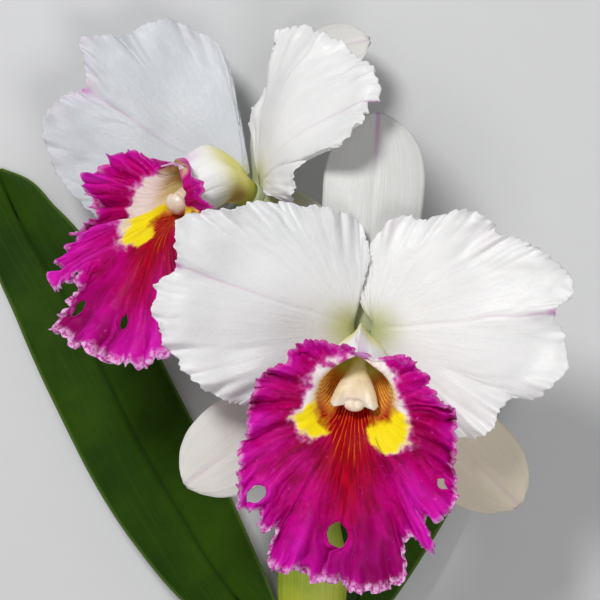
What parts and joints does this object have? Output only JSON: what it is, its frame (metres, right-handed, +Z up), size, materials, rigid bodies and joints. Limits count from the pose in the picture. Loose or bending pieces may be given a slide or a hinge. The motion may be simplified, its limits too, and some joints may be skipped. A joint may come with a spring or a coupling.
{
  "type": "cattleya orchid",
  "caption": "Cut flowering growth of a cattleya orchid lying down: white blooms with ruffled magenta lips on a stem from a pseudobulb with thick leaves.",
  "frame": {"origin": "on the flat spot under the pseudobulb, where the growth rests", "axes": "+Z up from the surface, +Y along the growth from the pseudobulb to the blooms, +X to the right as seen from above"},
  "size_m": [0.2164, 0.3268, 0.1247],
  "materials": {
    "petal": "satin",
    "sepal": "satin",
    "lip": "satin",
    "column": "satin",
    "anther_cap": "satin",
    "stem": "satin",
    "sheath": "satin",
    "leaf": "satin",
    "pseudobulb": "satin",
    "bract": "matte"
  },
  "bodies": {
    "root": {"front_dorsal_sepal": "sepal", "front_sepal_left": "sepal", "front_sepal_right": "sepal", "front_petal_left": "petal", "front_petal_right": "petal", "front_lip": "lip", "front_column": "column", "front_anther_cap": "anther_cap", "front_ovary": "stem", "back_dorsal_sepal": "sepal", "back_sepal_left": "sepal", "back_sepal_right": "sepal", "back_petal_left": "petal", "back_petal_right": "petal", "back_lip": "lip", "back_column": "column", "back_anther_cap": "anther_cap", "back_ovary": "stem", "peduncle": "stem", "flower_sheath": "sheath", "pseudobulb": "pseudobulb", "papery_bract": "bract", "leaf_left": "leaf", "leaf_right": "leaf"}
  },
  "joints": []
}
